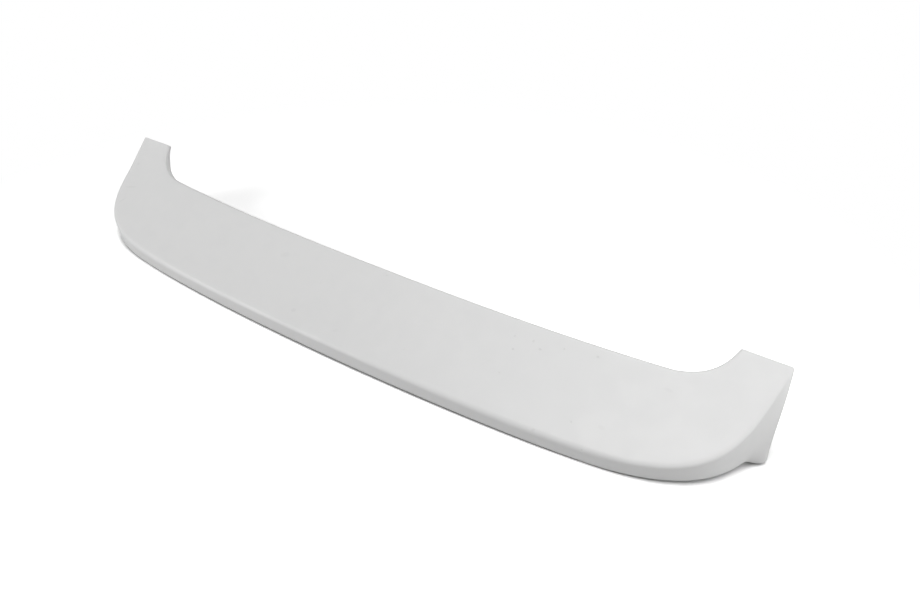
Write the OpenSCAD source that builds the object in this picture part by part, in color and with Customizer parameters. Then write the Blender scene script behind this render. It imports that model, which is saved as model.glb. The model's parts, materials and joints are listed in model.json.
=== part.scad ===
// Roof spoiler for a hatchback tailgate, moulded as one open shell.
// It is drawn as it lies on a floor: trailing edge and cheek toes down, arms up.
// X runs across the car, Y from the trailing edge to the arm tips, Z up. Millimetres.

/* [Overall] */
// Width over the two arm tips
span = 1122; // [900:1:1300]
// Level distance from the trailing crease to the leading edge, at the middle
chord = 121.5; // [100:0.5:145]
// Level distance from the leading edge to the front of the arms
arm_reach = 59.5; // [40:0.5:80]
// Wall thickness of the moulding
wall = 3; // [2:0.1:3.4]

/* [Top skin] */
// Slope of the top skin at the middle, in degrees
skin_slope = 25.7; // [18:0.1:36]
// Height of the trailing crease over the floor, at the middle
crease_z = 22.3; // [17:0.1:28]
// Hollow of the top skin from front to back: depth at the middle of the chord
skin_sag = 4; // [0:0.1:6]
// Fall of the top skin from the middle to the ends
skin_fall = 8.4; // [0:0.1:12]

/* [Trailing edge] */
// How far the trailing edge curves forward before the corners start
rear_bow = 19; // [10:0.5:28]
// Width of each rear corner, from the arm's outside to where the corner starts
corner_w = 152; // [110:1:190]
// How far forward the rear corner ends
corner_y = 125.5; // [115:0.5:140]
// Inward draw of the arm's outside where the rear corner ends
corner_draw = 11.5; // [2:0.5:16]
// Radius of the rolled crease
crease_r = 9; // [6:0.5:11]
// Radius the crease sharpens to at the arm's tip
tip_r = 3.6; // [3.5:0.1:6]
// Rise of the lower edge at the middle
edge_arch = 1.7; // [0:0.1:4]
// Backward slope of the trailing face at the middle
edge_kick = 4.3; // [0:0.1:6]
// Radius of the lower rim
rim_r = 4.2; // [3.6:0.1:5]
// Radius of the rim's roll at the toe
toe_roll = 5.6; // [4:0.2:9]
// Width of the lip turned in under the lower rim
lip_w = 12; // [8:0.5:16]

/* [Leading edge and arms] */
// How far the leading edge curves forward before the fillets start
front_bow = 16; // [8:0.5:24]
// Width of each arm at its front
arm_w = 63.5; // [50:0.5:80]
// Width of the fillet between leading edge and arm
fillet_w = 61; // [50:1:80]
// Depth of the flange under the leading edge
flange_h = 12; // [8:0.5:16]
// Radius of the leading edge
front_r = 4; // [3.5:0.1:6]

/* [Cheeks] */
// How far the toe stands out past the arm's outside
toe_out = 4.4; // [-2:0.2:10]
// Level distance from the trailing crease to the toe
toe_y = 138.5; // [130:0.5:146]
// Rise of the toe's rounded end
toe_round = 3.4; // [1:0.2:6]
// Height of the notch between corner and toe
notch_z = 7; // [2:0.5:14]
// Level distance from the trailing crease to the notch
notch_y = 116.5; // [110:0.5:122]
// Inward step of the notch from the arm's outside
notch_in = 16.2; // [10:0.2:20]
// Hollow of the cheek's front edge
cheek_dip = 28; // [10:1:40]
// Inward step of the crease at the arm's tip
tip_in = 0.6; // [0:0.1:3]
// Outward swell of the cheek under the arm's tip
cheek_swell = 5; // [0:0.5:8]

/* [Hidden] */
gelcoat = [0.87, 0.87, 0.87];

half = span / 2;
front_y = chord + arm_reach;
rear_x = half - corner_w;
inner_x = half - arm_w - fillet_w;

// Stations along the band: blade, rear corner and arm of one half
n_blade = 14;
n_corner = 17;
n_arm = 9;
half_run = [
    for (i = [0 : n_blade]) i / n_blade,
    for (i = [1 : n_corner]) 1 + i / n_corner,
    for (i = [1 : n_arm]) 2 + i / n_arm
];
n_half = len(half_run);
run = [
    for (i = [n_half - 1 : -1 : 1]) -half_run[i],
    for (i = [0 : n_half - 1]) half_run[i]
];

// Points across the band
n_flange = 2;
n_front = 4;
n_skin = 7;
n_crease = 6;
n_wall = 8;
n_rim = 4;
n_lip = 1;

function sq(a) = a * a;
function unit(v) = v / norm(v);
function mix(a, b, k) = a + (b - a) * k;
function smooth(k) = k <= 0 ? 0 : k >= 1 ? 1 : k * k * (3 - 2 * k);
function bez(p, k) = pow(1 - k, 3) * p[0] + 3 * k * sq(1 - k) * p[1]
    + 3 * k * k * (1 - k) * p[2] + pow(k, 3) * p[3];

// Circular arc from a to b, tangent to both lines through their corner c
function arc(a, c, b, k, w) =
    (sq(1 - k) * a + 2 * w * k * (1 - k) * c + k * k * b)
    / (sq(1 - k) + 2 * w * k * (1 - k) + k * k);

// Weight of the corner point that makes the arc a true circle
function arc_w(a, c, b) = norm(unit(a - c) + unit(b - c)) > 1.99 ? 1
    : sqrt((1 - unit(a - c) * unit(b - c)) / 2);

// Height of the top skin over a point of the floor
function skin_z(x, y) = crease_z
    + tan(skin_slope) * y - 4 * skin_sag * y * (chord - y) / sq(chord)
    - skin_fall * (2.1 * sq(x / half) - 1.1 * pow(x / half, 4));
function skin(p) = [p[0], p[1], skin_z(p[0], p[1])];
function skin_down(p) = -unit([0, skin_z(p[0], p[1]) - skin_z(p[0], p[1] + 1), 1]);

// Crease in plan, s from 0 at the middle to 3 at the arm's front
function crease_xy(s) =
    s <= 1 ? [rear_x * s, rear_bow * (0.75 * s * s + 0.25 * pow(s, 6))]
    : s <= 2 ? bez([
        [rear_x, rear_bow],
        [rear_x + 0.61 * corner_w, rear_bow * (1 + 2 * corner_w / rear_x)],
        [half - corner_draw - 0.06 * corner_w, mix(rear_bow, corner_y, 0.43)],
        [half - corner_draw, corner_y]], s - 1)
    : [half - mix(corner_draw, tip_in, s - 2), mix(corner_y, front_y, s - 2)];

// Leading edge and arm's inside in plan
function front_xy(s) =
    s <= 1 ? [inner_x * s, chord + front_bow * pow(s, 2.15)]
    : bez([
        [inner_x, chord + front_bow],
        [inner_x + 0.635 * fillet_w, chord + front_bow + 0.11 * fillet_w],
        [half - arm_w - 0.135 * fillet_w, mix(chord + front_bow, front_y, 0.51)],
        [half - arm_w, front_y]], pow((s - 1) / 2, 1.15));

// Lower edge: up to the notch behind the corner, then down to the foot of the toe
notch = [half - notch_in, notch_y, notch_z];
toe = [half + toe_out, toe_y, toe_round];
rear_turn = (3 * rear_bow + 2 * edge_kick) / rear_x;
function on_floor(p) = [p[0], p[1], max(0, p[2])];
function low(s) =
    s <= 1 ? [rear_x * s, crease_xy(s)[1] - edge_kick * (1 - s * s), edge_arch * (1 - s * s)]
    : s <= 2 ? bez([
        [rear_x, rear_bow, 0],
        [rear_x + 0.3 * corner_w, rear_bow + 0.3 * corner_w * rear_turn, 0.5 * notch_z],
        [half - 0.23 * corner_w, mix(rear_bow, notch_y, 0.3), 0.15 * notch_z],
        notch], s - 1)
    : on_floor(bez([
        notch,
        [mix(notch[0], toe[0], 0.3), mix(notch_y, toe_y, 0.46), 0.25 * notch_z],
        [toe[0] + 1.2, mix(notch_y, toe_y, 0.58), -0.97 * toe_round],
        toe], s - 2));

// Side of the cheek: from side_s on it runs straight to the toe, past the notch
side_s = 1.68;
function side(s) = let (
        a = low(side_s),
        b = low(s))
    s <= side_s ? b
    : [mix(a[0], toe[0], (b[1] - a[1]) / (toe_y - a[1])), b[1], b[2]];

// Line down the trailing face or the cheek, k from 0 at the crease to 1 at the lower edge;
// only its last stretch tucks in under the side to the notch
function face(s, k) = let (
        top = skin(crease_xy(s)),
        foot = side(s),
        y0 = corner_y / 2,
        f = cheek_dip * sq(max(0, top[1] - y0) / (front_y - y0)))
    bez([top, mix(top, foot, 1 / 3) + [cheek_swell * smooth(s - 2), -0.45 * f, 0],
        mix(top, foot, 2 / 3) - [0, f, 0], foot], k) + (low(s) - foot) * pow(k, 5);

// Level direction from the lower edge to the inside of the shell
function heading(s) = let (
        a = low(s - 0.04),
        b = low(min(s + 0.04, 2)))
    unit([b[0] - a[0], b[1] - a[1]]);
toe_heading = unit([toe[0] - notch[0], toe_y - notch_y]);
function inward(s) = let (
        d = s <= 2 ? heading(s) : unit(mix(heading(2), toe_heading, smooth(s - 2))))
    [-d[1], d[0], 0];

function flange_depth(s) = mix(flange_h, front_r + 1, smooth((s - 2.2) / 0.8));

// Points of the outer surface on one line across the band
function outer(s) = let (
        c = crease_xy(s),
        e = front_xy(s),
        a = unit(e - c),
        top = skin(c),
        lead = skin(e),
        down = skin_down(e),
        run_len = norm(face(s, 0.5) - top) + norm(low(s) - face(s, 0.5)),
        face_dir = unit(face(s, 0.05) - top),
        skin_dir = unit(skin(c + a) - top),
        round_r = mix(crease_r, tip_r, smooth(s - 2)),
        cut = min(round_r / tan(acos(face_dir * skin_dir) / 2), 0.4 * run_len),
        k1 = cut / run_len,
        roll = mix(rim_r, toe_roll, smooth(s - 2)),
        k2 = 1 - roll / run_len,
        p1 = skin(c + a * cut),
        p2 = face(s, k1),
        q1 = face(s, k2),
        q2 = low(s) + inward(s) * roll,
        r1 = lead + down * front_r,
        r2 = skin(e - a * front_r))
    [
        for (j = [0 : n_flange - 1]) lead + down * mix(flange_depth(s), front_r, j / n_flange),
        for (j = [0 : n_front - 1]) arc(r1, lead, r2, j / n_front, arc_w(r1, lead, r2)),
        for (j = [0 : n_skin - 1]) skin(mix(e - a * front_r, c + a * cut, j / n_skin)),
        for (j = [0 : n_crease - 1]) arc(p1, top, p2, j / n_crease, arc_w(p1, top, p2)),
        for (j = [0 : n_wall - 1]) face(s, mix(k1, k2, j / n_wall)),
        for (j = [0 : n_rim - 1]) arc(q1, low(s), q2, j / n_rim, arc_w(q1, low(s), q2)),
        for (j = [0 : n_lip]) low(s) + inward(s) * mix(roll, lip_w, j / n_lip)
    ];

function mirrored(pts) = [for (p = pts) [-p[0], p[1], p[2]]];
grid = [for (s = run) s < 0 ? mirrored(outer(-s)) : outer(s)];
n_run = len(grid);
n_across = len(grid[0]);

// Outward normal of the outer surface at a grid point
function normal(i, j) = unit(cross(
    grid[i][min(j + 1, n_across - 1)] - grid[i][max(j - 1, 0)],
    grid[min(i + 1, n_run - 1)][j] - grid[max(i - 1, 0)][j]));

// Each line is closed into a ring by the inner surface, one wall thickness in
ring = [
    for (i = [0 : n_run - 1]) [
        for (j = [0 : n_across - 1]) grid[i][j],
        for (j = [n_across - 1 : -1 : 0]) grid[i][j] - wall * normal(i, j)
    ]
];
n_ring = 2 * n_across;

// The outline's middle comes over the origin
deep = [for (line = ring, p = line) p[1]];
y_mid = (min(deep) + max(deep)) / 2;

module spoiler_shell() {
    points = [for (line = ring) each line];
    skin_faces = [
        for (i = [0 : n_run - 2], j = [0 : n_ring - 1]) let (
                k = (j + 1) % n_ring,
                a = i * n_ring + j,
                b = i * n_ring + k,
                c = (i + 1) * n_ring + k,
                d = (i + 1) * n_ring + j)
            each [[a, c, b], [a, d, c]]
    ];
    end_faces = [
        for (j = [0 : n_across - 2]) let (
                m = n_ring - 1 - j,
                e = (n_run - 1) * n_ring)
            each [
                [j, m - 1, m], [j, j + 1, m - 1],
                [e + j, e + m, e + m - 1], [e + j, e + m - 1, e + j + 1]
            ]
    ];
    color(gelcoat)
        translate([0, -y_mid, 0])
            polyhedron(points, concat(skin_faces, end_faces), convexity = 8);
}

spoiler_shell();
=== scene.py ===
# %% [markdown]
# A roof spoiler for a hatchback, lying on a white studio floor. The real object is one
# open moulding of glass-fibre laminate: a long blade with a rolled trailing face, two
# forward arms and deep cheeks at the ends. It is bare, just as it left its mould, in an
# off-white gelcoat. The packed CAD model gives the size and the place. This lesson gives
# it a smooth skin, a finish with its small marks, a floor, light and the camera.

# %% Load the frame
import json
import math

import bmesh
import bpy
from mathutils import Matrix, Vector

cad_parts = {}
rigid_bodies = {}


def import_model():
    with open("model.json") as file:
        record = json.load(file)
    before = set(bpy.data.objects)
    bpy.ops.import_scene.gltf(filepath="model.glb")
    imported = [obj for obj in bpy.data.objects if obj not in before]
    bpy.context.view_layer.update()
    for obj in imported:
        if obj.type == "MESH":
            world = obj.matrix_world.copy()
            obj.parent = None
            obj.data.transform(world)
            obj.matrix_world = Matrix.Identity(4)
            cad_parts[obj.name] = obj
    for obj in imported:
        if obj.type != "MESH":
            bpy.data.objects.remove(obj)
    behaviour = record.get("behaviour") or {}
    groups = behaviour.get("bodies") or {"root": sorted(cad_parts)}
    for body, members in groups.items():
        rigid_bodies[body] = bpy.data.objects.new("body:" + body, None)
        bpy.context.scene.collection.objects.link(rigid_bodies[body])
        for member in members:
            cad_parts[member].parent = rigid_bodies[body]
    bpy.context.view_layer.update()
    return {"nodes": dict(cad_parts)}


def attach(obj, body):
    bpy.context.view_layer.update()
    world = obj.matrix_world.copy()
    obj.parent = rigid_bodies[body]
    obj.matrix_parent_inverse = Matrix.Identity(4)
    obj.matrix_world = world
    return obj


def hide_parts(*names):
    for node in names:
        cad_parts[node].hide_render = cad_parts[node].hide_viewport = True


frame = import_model()
cad_shell = frame["nodes"]["spoiler_shell"]

# %% [markdown]
# The moulding could be modelled anew from a plane, but the CAD shell already has every
# curve at its true size, only as flat triangles. So its mesh is copied, and the original
# stays untouched. The copy comes as loose triangles, so its points are welded first, and
# pairs of triangles are joined into quads. A grid of quads is what a subdivision surface
# needs to round a long, slow curve without ripples.

# %% Copy the shell
WELD = 0.00002      # points closer than this are one point, in metres
PAIRING = math.radians(60)


def deselect_all():
    if bpy.context.object and bpy.context.object.mode != "OBJECT":
        bpy.ops.object.mode_set(mode="OBJECT")
    bpy.ops.object.select_all(action="DESELECT")


def make_active(piece):
    deselect_all()
    piece.select_set(True)
    bpy.context.view_layer.objects.active = piece


def welded_copy(node, name):
    piece = bpy.data.objects.new(name, node.data.copy())
    bpy.context.scene.collection.objects.link(piece)
    make_active(piece)
    bpy.ops.object.mode_set(mode="EDIT")
    bpy.ops.mesh.select_all(action="SELECT")
    bpy.ops.mesh.remove_doubles(threshold=WELD)
    bpy.ops.mesh.tris_convert_to_quads(face_threshold=PAIRING, shape_threshold=PAIRING)
    bpy.ops.object.mode_set(mode="OBJECT")
    return piece


moulding = welded_copy(cad_shell, "moulded_shell")
print("moulding", len(moulding.data.vertices), "points", len(moulding.data.polygons), "faces")

# %% [markdown]
# The mould gives the outside soft rolls, but the laminate is trimmed with a saw, so its
# cut edges are crisp: the fronts of the arms, the foot of the flange and the lip. A
# subdivision surface would round those too and shrink the thin walls. Each edge that
# turns sharply gets a crease weight, a little under full, which leaves the edge with the
# tiny rounding that sanding gives it.

# %% Keep the trimmed edges crisp
CUT_ANGLE = math.radians(50)    # an edge that turns more than this is a trimmed one
CUT_CREASE = 0.85


def mark_cut_edges(piece, angle, weight):
    mesh = bmesh.new()
    mesh.from_mesh(piece.data)
    layer = mesh.edges.layers.float.get("crease_edge") or mesh.edges.layers.float.new("crease_edge")
    cut = [e for e in mesh.edges if len(e.link_faces) == 2 and e.calc_face_angle(0) > angle]
    for edge in cut:
        edge[layer] = weight
        edge.smooth = False
    mesh.to_mesh(piece.data)
    mesh.free()
    return len(cut)


print("trimmed edges", mark_cut_edges(moulding, CUT_ANGLE, CUT_CREASE))

# %% [markdown]
# A laminate has two sides. The outside copies the polished mould, and the inside shows
# the glass mat that was pressed on by hand with a roller. Both belong to one piece, so
# one material has to know which side it is on. The mould side is everything that can be
# reached from the top skin without crossing a trimmed edge, which is just what Select
# Linked does when sharp edges stop it. What it doesn't reach is the inner side, and that
# is stored on the mesh as an attribute.

# %% Mark the inner side
FACES_UP = 0.001        # lets the upper of two equally high faces win


def mark_inner_side(piece):
    make_active(piece)
    bpy.ops.object.mode_set(mode="EDIT")
    bpy.ops.mesh.select_mode(type="FACE")
    bpy.ops.mesh.select_all(action="DESELECT")
    mesh = bmesh.from_edit_mesh(piece.data)
    start = max(mesh.faces, key=lambda f: f.calc_center_median().z + FACES_UP * f.normal.z)
    start.select = True
    bmesh.update_edit_mesh(piece.data)
    bpy.ops.mesh.select_linked(delimit={"SHARP"})
    bpy.ops.object.mode_set(mode="OBJECT")
    mould_side = set()
    for face in piece.data.polygons:
        if face.select:
            mould_side.update(face.vertices)
    mask = piece.data.attributes.new("inner_side", "FLOAT", "POINT")
    for point in piece.data.vertices:
        mask.data[point.index].value = 0.0 if point.index in mould_side else 1.0
    return 1.0 - len(mould_side) / len(piece.data.vertices)


print("share of points on the inner side %.2f" % mark_inner_side(moulding))

# %% [markdown]
# One level of subdivision turns the flat facets into a curved skin. It is applied, so that
# what is measured and exported is the finished mesh. Two levels would look the same
# from here and weigh four times as much.

# %% Smooth the skin
def smooth_skin(piece, levels):
    make_active(piece)
    smoother = piece.modifiers.new("smooth_skin", "SUBSURF")
    smoother.levels = levels
    smoother.render_levels = levels
    bpy.ops.object.modifier_apply(modifier=smoother.name)
    bpy.ops.object.shade_smooth_by_angle(angle=CUT_ANGLE)
    return len(piece.data.polygons)


print("smooth moulding", smooth_skin(moulding, 1), "faces")

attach(moulding, "root")
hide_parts("spoiler_shell")

# %% [markdown]
# Now the finish, in layers. Gelcoat is a thick, pigmented resin. Fresh from the mould it
# is an even off-white with a satin sheen, but never one flat colour: the pigment clouds
# a little, dust and tiny air bubbles leave pits, and hands leave dull smears. All of it
# could be an image, but computed patterns stay sharp at any distance and need no file.
# They read Object coordinates, so they are fixed to the part like a real stain. First
# come small helpers that each add one kind of node.

# %% Helpers for the gelcoat's nodes
class Finish:
    """One material's node tree, with a short call for each kind of node."""

    def __init__(self, name):
        self.material = bpy.data.materials.new(name)
        self.material.use_nodes = True
        self.tree = self.material.node_tree
        self.shader = self.tree.nodes["Principled BSDF"]
        self.place = self.add("ShaderNodeTexCoord").outputs["Object"]

    def add(self, kind, **settings):
        node = self.tree.nodes.new(kind)
        for name, value in settings.items():
            setattr(node, name, value)
        return node

    def join(self, source, target):
        if isinstance(source, bpy.types.NodeSocket):
            self.tree.links.new(source, target)
        else:
            target.default_value = source

    def math(self, operation, a, b=0.0, clamp=False):
        node = self.add("ShaderNodeMath", operation=operation, use_clamp=clamp)
        self.join(a, node.inputs[0])
        self.join(b, node.inputs[1])
        return node.outputs[0]

    def ramp(self, value, low, high, start=0.0, end=1.0):
        """A soft step: start below low, end above high."""
        node = self.add("ShaderNodeMapRange", interpolation_type="SMOOTHSTEP")
        self.join(value, node.inputs["Value"])
        for name, number in (("From Min", low), ("From Max", high), ("To Min", start), ("To Max", end)):
            self.join(number, node.inputs[name])
        return node.outputs["Result"]

    def cloud(self, scale, detail, place=None):
        node = self.add("ShaderNodeTexNoise")
        self.join(place or self.place, node.inputs["Vector"])
        self.join(scale, node.inputs["Scale"])
        self.join(detail, node.inputs["Detail"])
        return node.outputs["Fac"]

    def tint(self, factor, a, b):
        node = self.add("ShaderNodeMix", data_type="RGBA")
        self.join(factor, node.inputs["Factor"])
        self.join(a, node.inputs["A"])
        self.join(b, node.inputs["B"])
        return node.outputs["Result"]

    def length(self, vector):
        node = self.add("ShaderNodeVectorMath", operation="LENGTH")
        self.join(vector, node.inputs[0])
        return node.outputs["Value"]

    def sheet(self, colour):
        node = self.add("ShaderNodeBsdfDiffuse")
        self.join(colour, node.inputs["Color"])
        return node.outputs[0]

    def blend(self, factor, a, b):
        """Mix two whole shaders, where tint mixes two colours."""
        node = self.add("ShaderNodeMixShader")
        for slot, source in enumerate((factor, a, b)):
            self.join(source, node.inputs[slot])
        return node.outputs[0]


print("helpers", [name for name in vars(Finish) if not name.startswith("_")])

# %% [markdown]
# A mark needs a place on the part. A Mapping node set to Texture moves, turns and
# stretches space, so that a long thin stain becomes a ball one unit across. The distance
# from its middle then fades the mark out at its edge. The same helper makes a scratch,
# a smear and a speck, and each gets its real place and size in metres.

# %% Marks on the skin
REACH_UP = 0.012        # how far a mark reaches above and below its place


def skin_mark(finish, place, long, wide, heading=0.0, strength=1.0, soft=0.6):
    local = finish.add("ShaderNodeMapping", vector_type="TEXTURE")
    finish.join(finish.place, local.inputs["Vector"])
    local.inputs["Location"].default_value = place
    local.inputs["Rotation"].default_value = (0, 0, math.radians(heading))
    local.inputs["Scale"].default_value = (long / 2, wide / 2, REACH_UP)
    return finish.ramp(finish.length(local.outputs["Vector"]), 1.0 - soft, 1.0, strength, 0.0)


def all_of(finish, marks):
    """Several marks as one mask, no stronger than 1 where they cross."""
    total = marks[0]
    for mark in marks[1:]:
        total = finish.math("ADD", total, mark, clamp=True)
    return total


def handling_marks(finish):
    """Dull smears and a scratch, where hands and a bench have touched the gelcoat."""
    corner_scratch = skin_mark(finish, (-0.513, -0.011, 0.048), 0.017, 0.0030, 60, 1.0)
    corner_smear = skin_mark(finish, (-0.517, 0.013, 0.061), 0.030, 0.0050, 16, 0.6)
    arm_rub = skin_mark(finish, (-0.537, 0.050, 0.084), 0.008, 0.0060, 0, 0.6)
    blade_smear = skin_mark(finish, (-0.150, 0.000, 0.061), 0.020, 0.0100, 20, 0.45)
    rear_mark = skin_mark(finish, (-0.074, -0.067, 0.031), 0.010, 0.0080, 0, 0.7)
    rear_mark_2 = skin_mark(finish, (0.005, -0.070, 0.030), 0.013, 0.0060, 30, 0.4)
    right_smear = skin_mark(finish, (0.442, 0.024, 0.069), 0.016, 0.0050, 0, 0.4)
    right_smear_2 = skin_mark(finish, (0.393, -0.043, 0.035), 0.012, 0.0060, 0, 0.4)
    crease_nick = skin_mark(finish, (0.322, -0.078, 0.021), 0.006, 0.0040, 20, 1.0)
    return all_of(finish, [corner_scratch, corner_smear, arm_rub, blade_smear, rear_mark,
                           rear_mark_2, right_smear, right_smear_2, crease_nick])


def mould_specks(finish):
    """A few small bubbles that broke open along the right of the leading edge."""
    return all_of(finish, [
        skin_mark(finish, (0.238, 0.014, 0.068), 0.0035, 0.0035),
        skin_mark(finish, (0.245, -0.001, 0.059), 0.0045, 0.0035),
        skin_mark(finish, (0.264, 0.017, 0.069), 0.0040, 0.0040),
        skin_mark(finish, (0.277, 0.011, 0.065), 0.0055, 0.0035),
        skin_mark(finish, (0.305, 0.022, 0.071), 0.0030, 0.0030),
        skin_mark(finish, (0.348, 0.028, 0.074), 0.0045, 0.0035)])


print("a mark reaches %.0f mm above and below its place" % (1000 * REACH_UP))

# %% [markdown]
# Besides the marks one can point at, the whole skin has a scatter of pinholes far apart.
# A Voronoi texture gives every cell of space one random point: the distance to it draws
# the hole, and the cell's random colour decides whether that cell has a hole at all.

# %% Pinholes
PINHOLE_CELL = 45.0     # cells in a metre
PINHOLE_SIZE = 0.028    # radius, as a share of a cell
PINHOLE_EDGE = 2.2      # where its soft edge ends, in radii
PINHOLE_SHARE = 0.35    # share of the cells that have one


def pinholes(finish):
    cells = finish.add("ShaderNodeTexVoronoi")
    finish.join(finish.place, cells.inputs["Vector"])
    finish.join(PINHOLE_CELL, cells.inputs["Scale"])
    hole = finish.ramp(cells.outputs["Distance"], PINHOLE_SIZE, PINHOLE_SIZE * PINHOLE_EDGE, 1.0, 0.0)
    chance = finish.add("ShaderNodeSeparateColor")
    finish.join(cells.outputs["Color"], chance.inputs["Color"])
    chosen = finish.math("LESS_THAN", chance.outputs["Red"], PINHOLE_SHARE)
    return finish.math("MULTIPLY", hole, chosen)


print("one pinhole in about %.0f mm each way" % (1000 / PINHOLE_CELL / PINHOLE_SHARE ** 0.5))

# %% [markdown]
# Chopped-strand mat is made of short glass bundles that lie in all directions. Noise that
# is stretched a lot one way looks like such bundles, and three layers of it, each turned
# by another angle, cross like the real ones. The Mapping node is set to Texture here as
# well: set to Point it would stretch first and turn afterwards, and all the strands would
# lie one way. The strongest strand at each point wins, as the upper bundle hides the
# lower one.

# %% Glass mat on the inner side
STRANDS_ACROSS = 420.0      # strands in a metre, across their length
STRANDS_ALONG = 26.0        # and along it
STRAND_TURNS = (12.0, 68.0, 131.0)
LAYER_TILT = (0.3, 0.2)     # radians, so that no wall is cut straight along the strands
STRAND_EDGES = (0.50, 0.72)     # the noise values where a strand begins and is full


def glass_mat(finish):
    top = None
    for turn in STRAND_TURNS:
        laid = finish.add("ShaderNodeMapping", vector_type="TEXTURE")
        finish.join(finish.place, laid.inputs["Vector"])
        laid.inputs["Rotation"].default_value = (*LAYER_TILT, math.radians(turn))
        laid.inputs["Scale"].default_value = (1 / STRANDS_ALONG, 1 / STRANDS_ACROSS, 1 / STRANDS_ACROSS)
        strand = finish.cloud(1.0, 1.0, laid.outputs["Vector"])
        top = strand if top is None else finish.math("MAXIMUM", top, strand)
    return finish.ramp(top, *STRAND_EDGES)


print("strands laid at", STRAND_TURNS, "degrees")

# %% [markdown]
# The colour comes from mixing the off-white with a slightly greyer cloud, darkening it in
# marks and holes, and changing to the duller, resin-rich grey of the mat on the inner
# side. Roughness follows the same masks, since a rubbed place loses its satin sheen.
# Bump only carries what is too fine to model: the faint orange peel of sprayed gelcoat,
# the holes, and the strands. What is the same all over, such as the index of refraction,
# is set on the shader itself.

# %% Gelcoat
OFF_WHITE = (0.700, 0.700, 0.697, 1.0)
CLOUDED = (0.686, 0.687, 0.685, 1.0)
SMEAR = (0.560, 0.560, 0.555, 1.0)
HOLE = (0.380, 0.380, 0.375, 1.0)
MAT = (0.560, 0.562, 0.540, 1.0)
STRAND = (0.640, 0.645, 0.625, 1.0)
SMEAR_STRENGTH = 0.32
HOLE_STRENGTH = 0.14
RESIN_IOR = 1.5
SURFACE_SHINE = 0.45    # a little under the usual 0.5, as the gelcoat isn't polished
SATIN = 0.48            # roughness of the untouched skin
SATIN_SPREAD = (-0.03, 0.04)
RUBBED = 0.68           # roughness of a smear, and of the mat
SLOW_CLOUDS = 5.0       # in a metre
QUICK_CLOUDS = 38.0
SLOW_SHARE = 0.6        # how much the slow clouds count
CLOUD_EDGES = (0.40, 0.62)
SHEEN_EDGES = (0.35, 0.65)
PEEL_WAVES = 420.0      # in a metre
PEEL_HEIGHT = 0.00004
HOLE_DEPTH = 0.00030
STRAND_HEIGHT = 0.00035


def gelcoat_material():
    finish = Finish("gelcoat")
    shader = finish.shader
    shader.inputs["IOR"].default_value = RESIN_IOR
    shader.inputs["Specular IOR Level"].default_value = SURFACE_SHINE

    inner = finish.add("ShaderNodeAttribute", attribute_name="inner_side").outputs["Fac"]
    slow = finish.cloud(SLOW_CLOUDS, 3.0)
    quick = finish.cloud(QUICK_CLOUDS, 4.0)
    both = finish.math("ADD", finish.math("MULTIPLY", slow, SLOW_SHARE),
                       finish.math("MULTIPLY", quick, 1.0 - SLOW_SHARE))
    cloud = finish.ramp(both, *CLOUD_EDGES)
    holes = finish.math("MAXIMUM", pinholes(finish), mould_specks(finish))
    smears = handling_marks(finish)
    mat = glass_mat(finish)

    skin = finish.tint(cloud, OFF_WHITE, CLOUDED)
    skin = finish.tint(finish.math("MULTIPLY", smears, SMEAR_STRENGTH), skin, SMEAR)
    skin = finish.tint(finish.math("MULTIPLY", holes, HOLE_STRENGTH), skin, HOLE)
    colour = finish.tint(inner, skin, finish.tint(mat, MAT, STRAND))
    finish.join(colour, shader.inputs["Base Color"])

    sheen = finish.ramp(quick, *SHEEN_EDGES, *(SATIN + spread for spread in SATIN_SPREAD))
    dull = finish.math("MAXIMUM", smears, inner)
    rough = finish.math("ADD", finish.math("MULTIPLY", dull, RUBBED - SATIN), sheen)
    finish.join(rough, shader.inputs["Roughness"])

    outside = finish.math("SUBTRACT", 1.0, inner)
    peel = finish.math("MULTIPLY", finish.cloud(PEEL_WAVES, 2.0), PEEL_HEIGHT)
    pits = finish.math("MULTIPLY", holes, HOLE_DEPTH)
    skin_height = finish.math("MULTIPLY", finish.math("SUBTRACT", peel, pits), outside)
    mat_height = finish.math("MULTIPLY", finish.math("MULTIPLY", mat, STRAND_HEIGHT), inner)
    relief = finish.add("ShaderNodeBump")
    relief.inputs["Distance"].default_value = 1.0
    finish.join(finish.math("ADD", skin_height, mat_height), relief.inputs["Height"])
    finish.join(relief.outputs["Normal"], shader.inputs["Normal"])
    return finish.material


moulding.data.materials.clear()
moulding.data.materials.append(gelcoat_material())
print("gelcoat has", len(moulding.data.materials[0].node_tree.nodes), "nodes")

# %% [markdown]
# The floor is a white studio sheet. White paper under soft light renders as light grey,
# and turning up the lamps would burn out the part. So the floor keeps a plain colour for
# the light that bounces onto the part, and only where the camera sees it its colour is
# lifted, until open floor is pure white. A reflection sees it white too, but not lifted.
# Far away, where the lamps no longer reach, it glows at exactly white.
#
# Lifting would also wash out the thin dark line where the part touches the floor. That
# line is there because little light gets into so narrow a gap, which is what an Ambient
# Occlusion node measures. One with a short reach draws the line back in, as painted shade in the
# floor's colour where it is seen.

# %% Floor
FLOOR_SIZE = 24.0
SHEET = (0.60, 0.60, 0.60, 1.0)
LIFTED = (1.65, 1.65, 1.65, 1.0)
MIRRORED = (1.00, 1.00, 1.00, 1.0)
CONTACT_REACH = 0.017   # metres, how far the floor looks for something that shelters it
CONTACT_OPEN = 0.80     # the open share from which it counts as open floor
CONTACT_DARK = 0.10     # what is left of its colour in a closed gap
BLACK = (0.0, 0.0, 0.0, 1.0)
LIT_RADIUS = 0.58       # the lamps light the floor evenly up to here
GLOW_RADIUS = 0.85      # and from here it glows


def openness(finish):
    """How open the floor is to the light: 1 out in the open, less in a narrow gap."""
    node = finish.add("ShaderNodeAmbientOcclusion", samples=8)
    node.inputs["Distance"].default_value = CONTACT_REACH
    return finish.ramp(node.outputs["AO"], 0.0, CONTACT_OPEN, CONTACT_DARK, 1.0)


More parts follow.
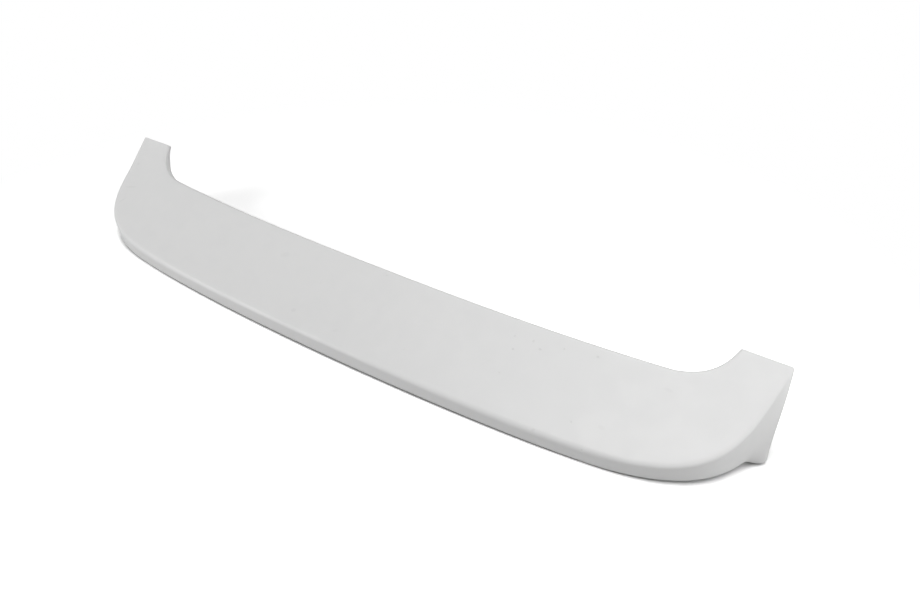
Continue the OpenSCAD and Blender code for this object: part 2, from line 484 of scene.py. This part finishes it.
def studio_white():
    finish = Finish("studio_white")
    path = finish.add("ShaderNodeLightPath")
    seen = finish.math("MAXIMUM", path.outputs["Is Camera Ray"], path.outputs["Is Glossy Ray"])
    seen = finish.math("MAXIMUM", seen, path.outputs["Is Transmission Ray"])
    white = finish.tint(path.outputs["Is Camera Ray"], MIRRORED, LIFTED)
    # the floor's colour goes dark in narrow gaps: a painted contact shadow
    shown = finish.sheet(finish.tint(openness(finish), BLACK, white))
    glow = finish.add("ShaderNodeEmission").outputs[0]
    far = finish.ramp(finish.length(finish.place), LIT_RADIUS, GLOW_RADIUS)
    floor_shader = finish.blend(seen, finish.sheet(SHEET), finish.blend(far, shown, glow))
    finish.join(floor_shader, finish.tree.nodes["Material Output"].inputs["Surface"])
    finish.tree.nodes.remove(finish.shader)
    return finish.material


deselect_all()
bpy.ops.mesh.primitive_plane_add(size=FLOOR_SIZE, location=(0, 0, 0))
floor = bpy.context.object
floor.name = "studio_floor"
floor.data.materials.append(studio_white())
print("floor", floor.dimensions)

# %% [markdown]
# The camera stands to the right of the trailing edge and looks down on the part. A view
# can be found by eye, but here the outline of the part was matched with the photograph,
# which gives the angles, the focal length in pixels of the 920 x 613 picture, and the
# place. Three directions, right, up and back, make the camera's matrix.

# %% Camera
PHOTO_WIDTH_PX = 920
FOCAL_PX = 859.2
AZIMUTH = math.radians(34.39)       # from the part's rear, round to its right-hand end
ELEVATION = math.radians(35.0)
EYE = Vector((0.67485, -0.74761, 0.72646))
SENSOR = 36.0       # mm, a full-frame camera


def photo_camera():
    data = bpy.data.cameras.new("photo_view")
    data.sensor_fit = "HORIZONTAL"
    data.sensor_width = SENSOR
    data.lens = FOCAL_PX * SENSOR / PHOTO_WIDTH_PX
    data.clip_start = 0.02
    data.clip_end = 50
    back = Vector((math.sin(AZIMUTH) * math.cos(ELEVATION),
                   -math.cos(AZIMUTH) * math.cos(ELEVATION), math.sin(ELEVATION)))
    right = Vector((math.cos(AZIMUTH), math.sin(AZIMUTH), 0))
    up = back.cross(right)
    camera = bpy.data.objects.new("photo_view", data)
    bpy.context.scene.collection.objects.link(camera)
    camera.matrix_world = Matrix((
        (right.x, up.x, back.x, EYE.x),
        (right.y, up.y, back.y, EYE.y),
        (right.z, up.z, back.z, EYE.z),
        (0, 0, 0, 1)))
    return camera


bpy.context.scene.camera = photo_camera()
print("lens %.1f mm" % bpy.context.scene.camera.data.lens)

# %% [markdown]
# Soft boxes more than a metre wide give light without hard edges, as in the photograph,
# and a smaller one near the right arm keeps that end the brightest. A part that is
# off-white all over shows its shape only through small steps in tone, so each box has one
# job. Their powers could be guessed, but it is surer to render the part under one box at
# a time and to weigh those pictures until the tones agree. No box is seen by the camera.

# %% Light
BOX_SIZE = 1.2
BOX_DISTANCE = 2.4
AIM = Vector((0, 0, 0.04))
ARM_BOX_SIZE = 0.5
ARM_BOX_DISTANCE = 0.9
RIGHT_ARM = Vector((0.6, 0.1, 0.1))


def around(azimuth, elevation, centre=AIM, distance=BOX_DISTANCE):
    """A place on a dome over the part: azimuth 0 is its right-hand end, 90 its front."""
    a, e = math.radians(azimuth), math.radians(elevation)
    way = Vector((math.cos(a) * math.cos(e), math.sin(a) * math.cos(e), math.sin(e)))
    return centre + distance * way


def soft_box(name, place, power, aim=AIM, size=BOX_SIZE):
    data = bpy.data.lights.new(name, "AREA")
    data.shape = "SQUARE"
    data.size = size
    data.energy = power
    lamp = bpy.data.objects.new(name, data)
    bpy.context.scene.collection.objects.link(lamp)
    lamp.location = place
    lamp.rotation_euler = (aim - place).to_track_quat("-Z", "Y").to_euler()
    lamp.visible_camera = False


soft_box("rear_left_box", around(225, 20), 30)        # the left corner and the trailing face
soft_box("right_box", around(355, 20), 22)            # the near cheek and the right corner
soft_box("overhead_box", around(0, 90), 22.5)         # the blade
soft_box("arm_box", around(0, 85, RIGHT_ARM, ARM_BOX_DISTANCE), 3.0,
         RIGHT_ARM, ARM_BOX_SIZE)                     # the right arm
soft_box("front_box", around(100, 25), 5)             # a little light for the inner side

# %% [markdown]
# The world behind the floor is white where it is seen and almost dark as a light, so the
# soft boxes alone model the part.

# %% Backdrop
BACKDROP_FILL = 0.02


def white_backdrop():
    world = bpy.data.worlds.new("studio")
    world.use_nodes = True
    tree = world.node_tree
    path = tree.nodes.new("ShaderNodeLightPath")
    seen = None
    for kind in ("Is Camera Ray", "Is Glossy Ray", "Is Transmission Ray"):
        if seen is None:
            seen = path.outputs[kind]
            continue
        either = tree.nodes.new("ShaderNodeMath")
        either.operation = "MAXIMUM"
        tree.links.new(seen, either.inputs[0])
        tree.links.new(path.outputs[kind], either.inputs[1])
        seen = either.outputs[0]
    strength = tree.nodes.new("ShaderNodeMapRange")
    strength.inputs["To Min"].default_value = BACKDROP_FILL
    tree.links.new(seen, strength.inputs["Value"])
    sky = tree.nodes["Background"]
    sky.inputs["Color"].default_value = (1, 1, 1, 1)
    tree.links.new(strength.outputs["Result"], sky.inputs["Strength"])
    return world


bpy.context.scene.world = white_backdrop()
bpy.context.scene.view_settings.view_transform = "Standard"
print("view transform", bpy.context.scene.view_settings.view_transform)

# %% [markdown]
